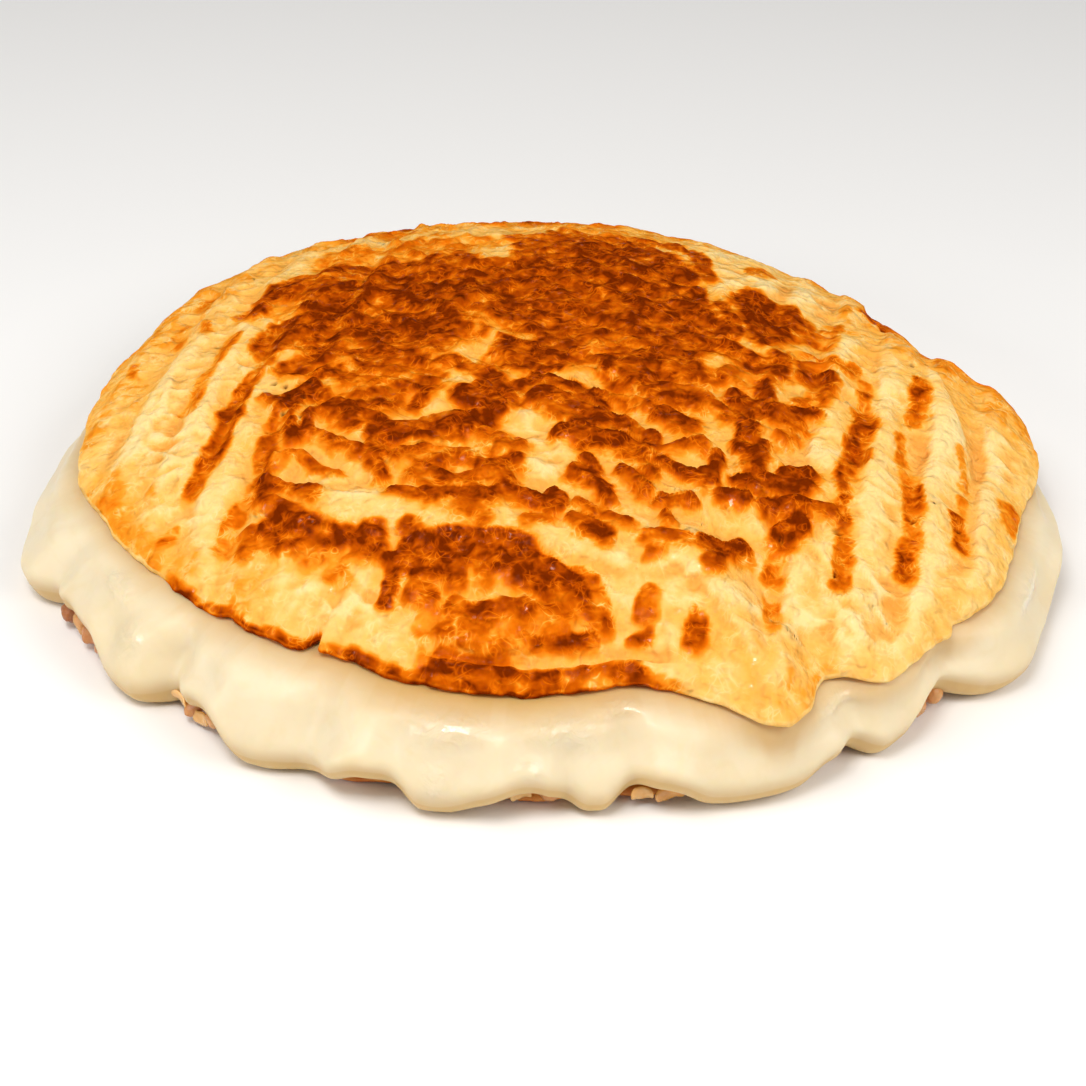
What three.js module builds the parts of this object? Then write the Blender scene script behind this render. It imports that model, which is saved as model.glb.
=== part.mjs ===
// A round grilled flatbread sandwich. A toasted lower flatbread carries a heap of chopped meat and
// onion. Melted cheese lies over the heap, spills past it and sets in drips, and a thin grilled
// flatbread is draped over the cheese. Each layer is one closed body that runs through the sandwich.
//
// Units are millimetres. The origin is the middle of the face it rests on, +Z is up and -Y is the
// front. Every layer is a stack of rings round the Z axis: a ring has one point in each of SIDES
// directions, and a shape is its rings from the middle of its underside, round its edge, to the
// middle of its top.

import * as THREE from 'three';

// ---- Driving dimensions ----
const SIDES = 108; // directions round the sandwich
const CROWN_HEIGHT = 38; // top of the sandwich above the surface it rests on
const TOP_BREAD_THICKNESS = 2.8;
const BOTTOM_BREAD_THICKNESS = 2.6;
const LAYER_GAP = 0.35; // clearance between layers that touch
const FILLING_EDGE_HEIGHT = 8.5; // the heap at its edge
const FILLING_CROWN_HEIGHT = 23; // the heap in the middle
const CHEESE_LIP_HEIGHT = 5; // underside of the cheese where it doesn't reach the surface
const CHEESE_BULGE_HEIGHT = 4.5; // widest place of the cheese above its underside
const CHEESE_TUCK = 2.2; // how far the cheese curls in under its widest place
const CHEESE_WALL_CLEARANCE = 0.6; // between the heap's side and the cheese

// Radii and heights by direction: [degrees from +X, millimetres], measured off the sandwich.
const TOP_BREAD_RADIUS = [
  [-168, 101], [-158, 98], [-147, 95.5], [-136, 93.5], [-124, 91.5], [-116, 89.5], [-107, 91],
  [-97, 91.5], [-87, 90], [-79, 89.5], [-73, 95], [-66, 104], [-59, 102], [-52, 104], [-42, 104],
  [-32, 103.5], [-22, 102], [-13, 101.5], [-5, 105], [8, 106], [15, 102], [23, 95], [38, 94],
  [60, 95], [82, 97], [102, 98.5], [122, 102], [142, 104], [160, 101.5], [176, 101.5],
];
const TOP_BREAD_EDGE_HEIGHT = [
  [-176, 20], [-140, 21], [-100, 21], [-75, 21], [-60, 19], [-30, 18.5], [-5, 16], [12, 16],
  [30, 17.5], [60, 18], [90, 18.5], [120, 19], [150, 19.5],
];
const CHEESE_RADIUS = [
  [-176, 108], [-163, 114.5], [-152, 109.5], [-141, 110], [-131, 104], [-121, 105.5], [-110, 104],
  [-101, 104], [-92, 102], [-85, 101.5], [-76, 103.5], [-66, 105], [-57, 104.5], [-51, 105.5],
  [-44, 103.5], [-36, 108.5], [-28, 111], [-18, 111], [-9, 109], [0, 105], [20, 102], [45, 101],
  [70, 103], [95, 104], [120, 107], [145, 108], [165, 104.5],
];
const FILLING_RADIUS = [
  [-176, 101], [-161, 106.5], [-151, 106], [-143, 103.5], [-132, 100.5], [-116, 100],
  [-108, 98], [-95, 98], [-88, 97.5], [-79, 97], [-60, 99], [-50, 101.5], [-42, 100.5],
  [-30, 103], [-12, 103], [4, 101], [30, 97], [70, 98], [110, 100], [150, 100],
];
// A tongue of the lower flatbread that sticks out past the cheese.
const TONGUE = { at: 4, half: 6, reach: 7.5 };
// Drips of cheese that reach the surface: middle and half width, in degrees.
const DRIPS = [
  { at: -162, half: 6.5 }, { at: -139, half: 6 }, { at: -119, half: 6.5 }, { at: -101.5, half: 5 },
  { at: -86, half: 4 }, { at: -67.5, half: 8 }, { at: -53, half: 4 }, { at: -30, half: 12 },
  { at: 26, half: 6 }, { at: 52, half: 8 }, { at: 84, half: 6 }, { at: 112, half: 8 },
  { at: 140, half: 7 },
];
// Raised folds in the top bread: a line of [x, y] points, which the sheet stands up along.
const FOLDS = [
  {
    height: 2.4,
    width: 7,
    line: [[-50, -49], [-36, -52], [-18, -55], [-4, -58], [10, -64], [21, -68], [28, -77], [36, -87]],
  },
  { height: 2.2, width: 7, line: [[72, 46], [76, 32], [82, 12], [84, -4], [84, -20]] },
];

const radians = THREE.MathUtils.degToRad;
const smooth = THREE.MathUtils.smoothstep;

// ---- Curves by direction ----

// A smooth closed curve through [degrees, value] knots, as a function of degrees.
function byDirection(knots) {
  const sorted = [...knots].sort((a, b) => a[0] - b[0]);
  const count = sorted.length;
  const knot = (i) => {
    const turns = Math.floor(i / count);
    const [degrees, value] = sorted[i - turns * count];
    return [degrees + 360 * turns, value];
  };
  const slope = (i) => {
    const [before, after] = [knot(i - 1), knot(i + 1)];
    return (after[1] - before[1]) / (after[0] - before[0]);
  };
  return (degrees) => {
    let angle = degrees;
    while (angle < sorted[0][0]) angle += 360;
    while (angle >= sorted[0][0] + 360) angle -= 360;
    let i = count - 1;
    while (sorted[i][0] > angle) i -= 1;
    const [[from, start], [to, end]] = [knot(i), knot(i + 1)];
    const span = to - from;
    const t = (angle - from) / span;
    const [t2, t3] = [t * t, t * t * t];
    return (
      (2 * t3 - 3 * t2 + 1) * start +
      (t3 - 2 * t2 + t) * span * slope(i) +
      (3 * t2 - 2 * t3) * end +
      (t3 - t2) * span * slope(i + 1)
    );
  };
}

const topBreadRadius = byDirection(TOP_BREAD_RADIUS);
const topBreadEdgeHeight = byDirection(TOP_BREAD_EDGE_HEIGHT);
const cheeseRadius = byDirection(CHEESE_RADIUS);
const fillingRadius = byDirection(FILLING_RADIUS);

// 1 within a lobe's half width and 0 clear of it, both in degrees.
function lobe(degrees, { at, half }) {
  const away = Math.abs(((degrees - at + 540) % 360) - 180);
  return 1 - smooth(away, half * 0.55, half * 1.25);
}

// 1 in the middle of a drip, 0 between drips.
function drip(degrees) {
  return Math.max(...DRIPS.map((one) => lobe(degrees, one)));
}

// ---- Height of the top bread ----

// The smooth dome that the cheese and the top bread share, at a share of the bread's radius.
function domeHeight(degrees, share) {
  const edge = topBreadEdgeHeight(degrees);
  return edge + (CROWN_HEIGHT - edge) * (1 - share ** 3.2) ** 0.8;
}

function distanceToLine(x, y, line) {
  const here = new THREE.Vector3(x, y, 0);
  const nearest = new THREE.Vector3();
  let least = Infinity;
  for (let i = 1; i < line.length; i += 1) {
    const stretch = new THREE.Line3(
      new THREE.Vector3(...line[i - 1], 0),
      new THREE.Vector3(...line[i], 0),
    );
    stretch.closestPointToPoint(here, true, nearest);
    least = Math.min(least, nearest.distanceTo(here));
  }
  return least;
}

// How far the sheet stands up along its folds. They die out before its edge.
function foldHeight(x, y, share) {
  const heights = FOLDS.map(
    ({ height, width, line }) => height * (1 - smooth(distanceToLine(x, y, line), 0, width)),
  );
  return Math.max(...heights) * (1 - smooth(share, 0.9, 1));
}

// ---- Rings and bodies ----

const directions = Array.from({ length: SIDES }, (_, i) => (360 * i) / SIDES - 180);

// One ring: radiusAt and heightAt take a direction in degrees.
function ring(radiusAt, heightAt) {
  return directions.map((degrees) => {
    const radius = radiusAt(degrees);
    const angle = radians(degrees);
    const [x, y] = [radius * Math.cos(angle), radius * Math.sin(angle)];
    return [x, y, heightAt(degrees, x, y)];
  });
}

// A closed body from its rings, between a bottom and a top point on the axis.
function body(bottom, rings, top) {
  const points = [[0, 0, bottom], ...rings.flat(), [0, 0, top]];
  const at = (level, side) => 1 + level * SIDES + (side % SIDES);
  const last = rings.length - 1;
  const faces = [];
  for (let side = 0; side < SIDES; side += 1) {
    faces.push(0, at(0, side + 1), at(0, side));
    for (let level = 0; level < last; level += 1) {
      const [a, b] = [at(level, side), at(level, side + 1)];
      const [c, d] = [at(level + 1, side + 1), at(level + 1, side)];
      faces.push(a, b, c, a, c, d);
    }
    faces.push(points.length - 1, at(last, side), at(last, side + 1));
  }
  const geometry = new THREE.BufferGeometry();
  geometry.setAttribute('position', new THREE.Float32BufferAttribute(points.flat(), 3));
  geometry.setIndex(faces);
  geometry.computeVertexNormals();
  return geometry;
}

// ---- The layers ----

// Shares of the top bread's radius where the bread and the cheese below it have their rings.
const SHARED_RINGS = [0.3, 0.55, 0.74, 0.88, 0.96];
const TOP_RINGS = [0.99, 0.955, 0.91, 0.855, 0.79, 0.72, 0.645, 0.57, 0.48, 0.38, 0.26, 0.13];
const FILLING_RINGS = [0.4, 0.7, 0.9, 1];

function topBread() {
  const under = (degrees, share) => domeHeight(degrees, share) - TOP_BREAD_THICKNESS;
  const ringAt = (share, heightAt) => ring((degrees) => share * topBreadRadius(degrees), heightAt);
  const rings = [
    ...SHARED_RINGS.map((share) => ringAt(share, (degrees) => under(degrees, share))),
    ringAt(1, (degrees) => domeHeight(degrees, 1) - TOP_BREAD_THICKNESS * 0.6),
    ...TOP_RINGS.map((share) =>
      ringAt(share, (degrees, x, y) => domeHeight(degrees, share) + foldHeight(x, y, share)),
    ),
  ];
  return body(CROWN_HEIGHT - TOP_BREAD_THICKNESS, rings, CROWN_HEIGHT);
}

function fillingTop(share) {
  const rise = FILLING_CROWN_HEIGHT - FILLING_EDGE_HEIGHT;
  return FILLING_EDGE_HEIGHT + rise * (1 - share ** 2.5);
}

function cheese() {
  const foot = (degrees) => CHEESE_LIP_HEIGHT * (1 - drip(degrees));
  const wall = (degrees) => fillingRadius(degrees) + CHEESE_WALL_CLEARANCE;
  const widest = (degrees) => foot(degrees) + CHEESE_BULGE_HEIGHT;
  const spillTop = (degrees) => domeHeight(degrees, 1) - TOP_BREAD_THICKNESS - LAYER_GAP;
  // The cheese's side: 0 is its widest place, 1 is the bread's edge above it and -1 its underside.
  const side = (t) => {
    const turn = radians(90 * t);
    const radiusAt = (degrees) => {
      const inner = t > 0 ? 0.985 * topBreadRadius(degrees) : cheeseRadius(degrees) - CHEESE_TUCK;
      return inner + (cheeseRadius(degrees) - inner) * Math.cos(turn);
    };
    const heightAt = (degrees) => {
      const far = t > 0 ? spillTop(degrees) : foot(degrees);
      return widest(degrees) + (far - widest(degrees)) * Math.abs(Math.sin(turn));
    };
    return ring(radiusAt, heightAt);
  };
  const rings = [
    ...FILLING_RINGS.slice(0, -1).map((share) =>
      ring((degrees) => share * fillingRadius(degrees), () => fillingTop(share) + LAYER_GAP),
    ),
    ring(wall, () => FILLING_EDGE_HEIGHT + LAYER_GAP),
    ring(wall, foot),
    ...[-1, -0.45, 0, 0.3, 0.55, 0.8].map(side),
    ...SHARED_RINGS.toReversed().map((share) =>
      ring(
        (degrees) => share * topBreadRadius(degrees),
        (degrees) => domeHeight(degrees, share) - TOP_BREAD_THICKNESS - LAYER_GAP,
      ),
    ),
  ];
  return body(
    FILLING_CROWN_HEIGHT + LAYER_GAP,
    rings,
    CROWN_HEIGHT - TOP_BREAD_THICKNESS - LAYER_GAP,
  );
}

function filling() {
  const floor = BOTTOM_BREAD_THICKNESS + LAYER_GAP;
  const rings = [
    ring((degrees) => fillingRadius(degrees) - 1.5, () => floor),
    ...FILLING_RINGS.toReversed().map((share) =>
      ring((degrees) => share * fillingRadius(degrees), () => fillingTop(share)),
    ),
  ];
  return body(floor, rings, FILLING_CROWN_HEIGHT);
}

function bottomBread() {
  const edge = (degrees) => fillingRadius(degrees) - 0.5 + TONGUE.reach * lobe(degrees, TONGUE);
  const rings = [
    ring((degrees) => edge(degrees) - 1, () => 0),
    ring(edge, () => BOTTOM_BREAD_THICKNESS * 0.5),
    ring((degrees) => edge(degrees) - 1, () => BOTTOM_BREAD_THICKNESS),
  ];
  return body(0, rings, BOTTOM_BREAD_THICKNESS);
}

// ---- The sandwich ----

const LAYERS = [
  { name: 'bottom_bread', shape: bottomBread, color: 0xd98f3c, roughness: 0.7 },
  { name: 'filling', shape: filling, color: 0xb8784a, roughness: 0.5 },
  { name: 'cheese', shape: cheese, color: 0xf3dfb0, roughness: 0.3 },
  { name: 'top_bread', shape: topBread, color: 0xf2b95e, roughness: 0.55 },
];

const sandwich = new THREE.Group();
for (const { name, shape, color, roughness } of LAYERS) {
  const mesh = new THREE.Mesh(
    shape(),
    new THREE.MeshStandardMaterial({ color, roughness, metalness: 0 }),
  );
  mesh.name = name;
  sandwich.add(mesh);
}

export default sandwich;
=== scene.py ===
"""The looks of a round grilled flatbread sandwich.

Four layers come from the frame, and each is replaced here by a finished piece that keeps its place and
outline: a toasted lower flatbread, a heap of chopped meat and onion, melted cheese that spills out in
drips, and a thin wrinkled flatbread with grill marks. Shapes are worked out in millimetres, in the
frame's own axes (+Z up, -Y the front), and turned into metres when a mesh is made.
"""
import itertools
import math

import bmesh
import bpy
import numpy as np
from mathutils import Matrix, Vector


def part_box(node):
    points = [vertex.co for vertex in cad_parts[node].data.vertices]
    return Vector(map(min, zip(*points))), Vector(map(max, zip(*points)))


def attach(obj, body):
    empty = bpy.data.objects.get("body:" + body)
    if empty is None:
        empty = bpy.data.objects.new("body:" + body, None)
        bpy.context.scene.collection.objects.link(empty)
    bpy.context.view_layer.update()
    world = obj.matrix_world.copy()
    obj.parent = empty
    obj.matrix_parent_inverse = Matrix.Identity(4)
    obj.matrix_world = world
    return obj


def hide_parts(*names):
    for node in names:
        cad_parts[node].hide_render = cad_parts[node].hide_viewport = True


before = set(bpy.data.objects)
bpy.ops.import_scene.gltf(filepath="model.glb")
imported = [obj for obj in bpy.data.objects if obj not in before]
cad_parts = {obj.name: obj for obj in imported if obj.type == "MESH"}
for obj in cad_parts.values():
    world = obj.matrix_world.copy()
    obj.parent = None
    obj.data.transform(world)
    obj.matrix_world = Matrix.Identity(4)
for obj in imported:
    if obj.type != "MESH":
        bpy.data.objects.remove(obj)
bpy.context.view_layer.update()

MM = 0.001

# ---- Driving dimensions, in millimetres ----
CROWN_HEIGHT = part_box("top_bread")[1].z / MM - 0.1
TOP_BREAD_THICKNESS = 2.8
RIM_THICKNESS = 1.8
LAYER_GAP = 0.35
BOTTOM_BREAD_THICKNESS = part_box("bottom_bread")[1].z / MM
HEAP_EDGE_HEIGHT = 8.5  # the heap of filling at its edge
HEAP_CROWN_HEIGHT = 23  # and in its middle
CHEESE_BULGE_HEIGHT = 4.5  # from the cheese's underside to its widest place
CHEESE_TUCK = 4.4  # how far it curls in below its widest place
CHEESE_SPREAD = 1.1  # how much further than the frame's layer it reaches at the front

# ---- How finely the layers are divided ----
TOP_BREAD_CELLS = 282  # across the disc
BOTTOM_BREAD_CELLS = 170
CHEESE_SIDES = 1080  # directions round the sandwich
CORE_SIDES = 540

# ---- The grill's bars ----
BAR_PITCH = 11.85
BAR_PHASE = 31.15  # one bar lies this far across from the middle
BAR_LEAN = math.radians(11)
BAR_DEPTH = 1.9

# ---- Raised folds: the sheet climbs slowly behind the line and drops sharply in front of it ----
FOLDS = [
    # (height, run behind the line, drop in front of it, line with the lower side on its right)
    (2.4, 11, 2.2, [(-62, -43), (-50, -50), (-40, -52), (-30, -56), (-20, -57), (-10, -58.5), (0, -62.5),
                    (10, -64), (17, -66), (22, -67.5)]),
    (2.0, 10, 2.0, [(14, -61), (22, -64), (28, -69), (33, -76), (36, -82), (38.5, -88), (40.5, -94)]),
    (2.2, 13, 2.6, [(83, -36), (86, -20), (86, -4), (84, 10), (78, 26), (73, 44), (70, 62)]),
    (1.3, 9, 1.6, [(-41.5, -80), (-37, -72), (-33, -64), (-31, -58)]),
    (0.9, 8, 2.0, [(-84, -31), (-80, -27), (-74, -27), (-69, -31)]),
    (0.9, 7, 2.0, [(-66, -27), (-63, -24), (-59, -27), (-57, -31)]),
]

# ---- Browning: (strength, half width, line), read off the top of the sandwich in millimetres ----
BROWNED_MIDDLE = [
    (0.86, 15, [(-45, 27), (-30, 32), (-10, 36), (8, 40), (20, 40)]),
    (0.82, 11, [(6, 54), (19, 54), (24, 46)]), (0.92, 3, [(5, 52), (8, 58)]),
    (0.74, 2, [(33, 64), (35, 54), (36, 44)]), (0.84, 9, [(-48, 18), (-35, 14), (-25, 12)]),
    (0.82, 12, [(-5, 23), (12, 17), (28, 16)]), (1, 6, [(46, 34), (48, 24), (48, 18)]),
    (0.72, 2.5, [(53, 34), (54, 28)]), (1, 3.2, [(50, 30), (50.5, 24), (48, 15)]),
    (0.88, 3.2, [(32, 36), (32, 28)]), (0.84, 2, [(38, 30), (40, 20), (39, 11)]),
    (0.8, 2.6, [(4, 28), (16, 27), (30, 28)]), (0.72, 3.5, [(-46, 38), (-56, 43), (-60, 41)]),
    (0.66, 5, [(-52, 36), (-58, 34)]), (0.68, 3, [(-64, 42), (-58, 46), (-53, 47)]),
    (0.66, 2.5, [(-57, 14), (-54, 11)]), (0.72, 3.5, [(-56, 45), (-64, 40), (-67, 31)]),
    (0.76, 5, [(-60, 21), (-61, 13)]), (0.74, 6, [(-46, 48), (-36, 46), (-22, 49)]),
    (0.36, 8, [(-50, 57), (-35, 60), (-18, 60)]), (0.62, 2.5, [(-22, 54), (-21, 50)]),
    (0.62, 3, [(-8, 53), (-3, 51)]), (0.78, 6, [(-4, 60), (8, 64), (18, 62)]),
    (0.6, 2.2, [(-10, 67), (-4, 67)]), (0.15, 8, [(-90, -28), (-85, -42), (-76, -55)]),
    (0.15, 5, [(-58, -60), (-57, -67)]), (0.14, 7, [(70, 30), (74, 12), (84, 26)]),
    (0.13, 6, [(-91, 8), (-96, -8)]), (0.12, 7, [(30, -80), (40, -88), (48, -84)]),
    (0.4, 2.5, [(-28, 70), (-27, 64)]), (0.2, 3, [(-17, 87.5), (-10, 87), (2, 87.5), (8, 87.5)]),
    (0.16, 4, [(13, 72), (12, 84), (13, 95)]), (0.22, 4, [(-49, 84), (-48, 78)]),
    (0.22, 4, [(-38, 88), (-37, 80)]), (0.6, 4, [(2, 69), (14, 68), (28, 67)]),
    (0.68, 7, [(-36, 8), (-36, 0), (-36, -10), (-40, -19)]), (0.66, 9, [(3, 7), (18, 3), (20, -5)]),
    (0.86, 2.8, [(-4, 4), (3, 2)]), (0.9, 2.6, [(24.5, 7), (22, -2), (20, -7)]),
    (0.74, 2, [(-51, -5), (-48, 0), (-44, -3), (-43, -8)]), (0.88, 2.4, [(-51, -8), (-48, -12)]),
    (0.9, 1.8, [(-54.5, -9), (-54.5, -16)]), (0.84, 2, [(-28, -2), (-25, -5), (-25, -9)]),
    (0.76, 6, [(-5, 4), (-8, 0)]), (0.82, 4.2, [(-56, 1), (-49, 5)]),
    (1, 2.8, [(-47, 40), (-48.5, 30), (-49.5, 18), (-49.5, 10)]), (0.92, 1.9, [(-45, 6), (-42, 5)]),
    (0.92, 1.9, [(-36, 6), (-31, 5)]), (0.92, 2.4, [(-39, 30), (-39, 26)]),
    (0.88, 2.4, [(-4, 17), (8, 17)]), (0.9, 3, [(-32, 20), (-22, 21), (-18, 24)]),
    (0.5, 2, [(-18, 18), (-16, 14)]), (0.74, 2, [(-10, 10), (-12, 3), (-13, 0)]),
    (0.9, 1.9, [(1, 0), (-4, -8), (-9, -11)]), (0.62, 5, [(-30, -4), (-26, -8)]),
    (0.92, 4, [(29, 7), (38, 9)]), (0.6, 5, [(28, 0), (32, -6)]),
    (0.42, 4, [(-68, 30), (-63, 33), (-59, 28)]), (0.34, 3, [(-53, 59), (-53, 52)]),
    (0.5, 3, [(56, 28), (57, 19)]), (0.42, 2.2, [(63, 29), (60, 17)]), (0.52, 2.2, [(50, 58), (47, 55)]),
    (0.26, 2.5, [(65, 37), (67, 40)]), (0.5, 3, [(40, 4), (43, 6)]), (1, 2.8, [(43.5, 2.6), (47.5, 2.4)]),
    (0.86, 3, [(54, 1), (58, 0)]), (0.54, 2.2, [(53, 9), (60, 8.5), (65, 6)]),
    (0.9, 2.2, [(43, 5), (49, 4)]), (0.74, 2, [(54, 3), (58, 2)]), (0.6, 1.6, [(48, 8), (57, 7)]),
    (0.56, 2.6, [(58, -5), (55, -9), (51, -13)]), (0.92, 3, [(75.4, 54), (76.2, 48), (75.2, 41)]),
    (0.78, 1.8, [(-24, 1), (-18, -2), (-13, -7), (-9, -13), (-7, -17)]),
    (0.84, 1.7, [(-29, 2), (-27, -5), (-27, -12), (-29, -16)]),
]
BROWNED_FOLDS = [
    (0.84, 4, [(-45, -17), (-42, -21), (-36, -24)]), (0.84, 1.6, [(-50, -19), (-50, -25)]),
    (0.84, 4, [(-35, -27), (-24, -25)]), (0.9, 2, [(-36, -30), (-35, -34)]),
    (0.92, 2.2, [(-26, -28.5), (-18, -27.5)]), (0.8, 3.2, [(-18, -14), (-15, -16)]),
    (0.84, 1.7, [(-15, -10), (-11, -17)]), (0.7, 3.6, [(-13, -29), (-8, -32)]),
    (0.84, 2.4, [(-13, -38.5), (-8, -38.5)]), (0.86, 1.6, [(0, -47), (1, -51)]),
    (1, 2.6, [(2, -28), (7, -28.5)]), (0.88, 1.8, [(10, -20), (15, -24)]),
    (0.94, 2.2, [(20, -28), (20, -32), (16.5, -35.5)]), (0.94, 3.2, [(-25, -23), (-17, -23), (-12, -20)]),
    (0.52, 3.6, [(-30, -35), (-20, -36), (-12, -35)]), (0.66, 3.4, [(-26, -41), (-20, -43), (-10, -43)]),
    (0.86, 2.2, [(-25, -48), (-20, -49), (-10, -47.5), (0, -51)]), (1, 2.6, [(1, -49), (0, -51)]),
    (0.8, 2.2, [(-1, -53), (-4, -55)]), (0.8, 4.5, [(-2, -15), (4, -19), (9, -23)]),
    (0.8, 1.9, [(0, -8), (6, -12), (10, -16)]), (0.94, 3, [(5, -27), (8, -30), (12, -31), (16, -33)]),
    (0.86, 1.6, [(16, -33), (18, -38), (20, -41)]), (0.62, 2, [(15, -24), (18, -28)]),
    (0.6, 1.6, [(9, -12), (14, -14), (19, -17)]), (0.8, 2.2, [(5, -40), (8, -43), (10, -46)]),
    (0.86, 1.6, [(7, -37), (9, -41)]), (0.9, 1.5, [(10.5, -47.5), (11.5, -50)]),
    (0.62, 1.5, [(14, -40), (16, -43), (18.5, -46)]), (0.94, 1.5, [(22, -37), (25, -39), (28, -41)]),
    (0.74, 1.4, [(22, -49), (27, -48.6)]), (0.66, 1.3, [(23, -33), (27, -31), (30, -30)]),
    (0.9, 1.8, [(33, -34), (33, -37)]), (0.84, 2.6, [(31, -40), (31, -43)]),
    (0.86, 1.5, [(33, -46.5), (38, -46.5)]), (0.6, 1.5, [(22, -54), (22.5, -56)]),
    (0.62, 1.5, [(18, -60), (22, -60), (26, -61)]), (0.5, 1.2, [(19, -64), (21, -64)]),
    (1, 3, [(30, -60.5), (33, -61.5), (36, -60)]), (0.7, 1.8, [(32, -63), (31, -66)]),
    (1, 3, [(38, -42), (43, -41), (49, -41)]), (0.9, 1.9, [(42, -47.5), (47, -46), (50, -47)]),
    (0.84, 1.5, [(41, -35), (41, -38)]), (0.9, 2.6, [(47, -38), (50, -36)]),
    (0.6, 1.5, [(47, -48), (52, -47), (55, -47)]), (1, 3, [(48, -52), (45.5, -53.5), (45, -55)]),
    (0.98, 2.8, [(39, -13), (40, -19), (40, -27)]), (0.98, 2.4, [(38.5, -10), (42, -13)]),
    (0.9, 2, [(44, -5), (45, -11)]), (0.74, 2.4, [(34, -17), (36, -20)]),
    (0.8, 1.9, [(38, -30), (39, -35)]), (0.84, 1.5, [(43, -29), (42, -33)]),
    (0.76, 3.5, [(46, -17), (50, -19)]), (0.96, 1.8, [(51, -15), (54, -14.5)]),
    (0.5, 2, [(47, -25), (49, -23)]), (0.88, 2.8, [(23, -20), (28, -24)]),
    (0.66, 4.5, [(20, -12), (30, -14)]), (0.76, 5.5, [(14, -2), (17, -8)]), (0.36, 4, [(38, -3), (45, -5)]),
    (0.84, 2, [(4, -55.3), (8, -57.5), (10, -60)]), (0.66, 1.5, [(5, -51), (10, -53.5), (14, -56)]),
    (0.6, 1.5, [(-27.5, -56), (-26, -56)]), (0.66, 2, [(-18, -51), (-14, -54)]),
    (0.5, 1.2, [(-56, -33), (-51, -32), (-47, -37), (-43, -39)]),
    (0.8, 1.9, [(-58, -39), (-53, -42), (-47, -45)]), (0.54, 1.6, [(-58, -44), (-54, -47), (-50, -51)]),
    (0.9, 1.5, [(-50.5, -7), (-52, -9)]), (0.66, 1.4, [(-60, -11), (-57, -13)]),
    (0.62, 1.5, [(-48, -26), (-44, -29), (-39, -33)]), (0.7, 1.4, [(-36, -35), (-34, -41)]),
    (0.7, 1.5, [(-31, -46), (-27, -48)]), (0.96, 2.8, [(-54, -11), (-54.5, -14), (-56, -17)]),
    (0.8, 1.6, [(-54, -22), (-53, -26)]),
]
BROWNED_FRONT = [
    (0.88, 3.6, [(-55, -52.3), (-51, -55), (-42, -57), (-35, -59)]), (0.5, 2.2, [(-60, -52), (-60, -56)]),
    (0.46, 2.2, [(-48, -60), (-41, -61)]),
    (0.98, 2.6, [(-27, -61), (-20, -60.3), (-10, -61.9), (-3, -65.9), (4, -70.8)]),
    (0.86, 2.6, [(-28, -65.5), (-23, -66.5)]), (0.96, 2.6, [(-16, -63), (-10, -63)]),
    (0.86, 2.2, [(-21, -85), (-16, -86.5), (-9, -87)]), (0.84, 2, [(-19, -64), (-18, -69)]),
    (0.66, 1.8, [(-26, -71), (-23, -73)]), (0.84, 1.6, [(-30.5, -63), (-30, -68), (-31, -72)]),
    (0.92, 4, [(-7, -66), (-2, -70), (4, -73)]), (0.8, 2.2, [(0, -75), (5, -75.5), (9, -77)]),
    (0.72, 2.2, [(-18, -75), (-12, -77), (-4, -76)]), (0.62, 2.2, [(-20, -80), (-13, -80)]),
    (0.4, 3.4, [(-22, -83), (-16, -84), (-9, -84)]), (0.34, 6, [(-20, -79), (-12, -80), (-2, -80)]),
    (0.6, 1.4, [(-2, -82.5), (4, -83), (8, -82.5)]), (0.62, 1.8, [(-14, -65), (-12, -69)]),
    (0.4, 1.6, [(-42, -64), (-40, -67)]), (0.62, 1.8, [(5, -68), (8, -70), (9, -74)]),
]
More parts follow.
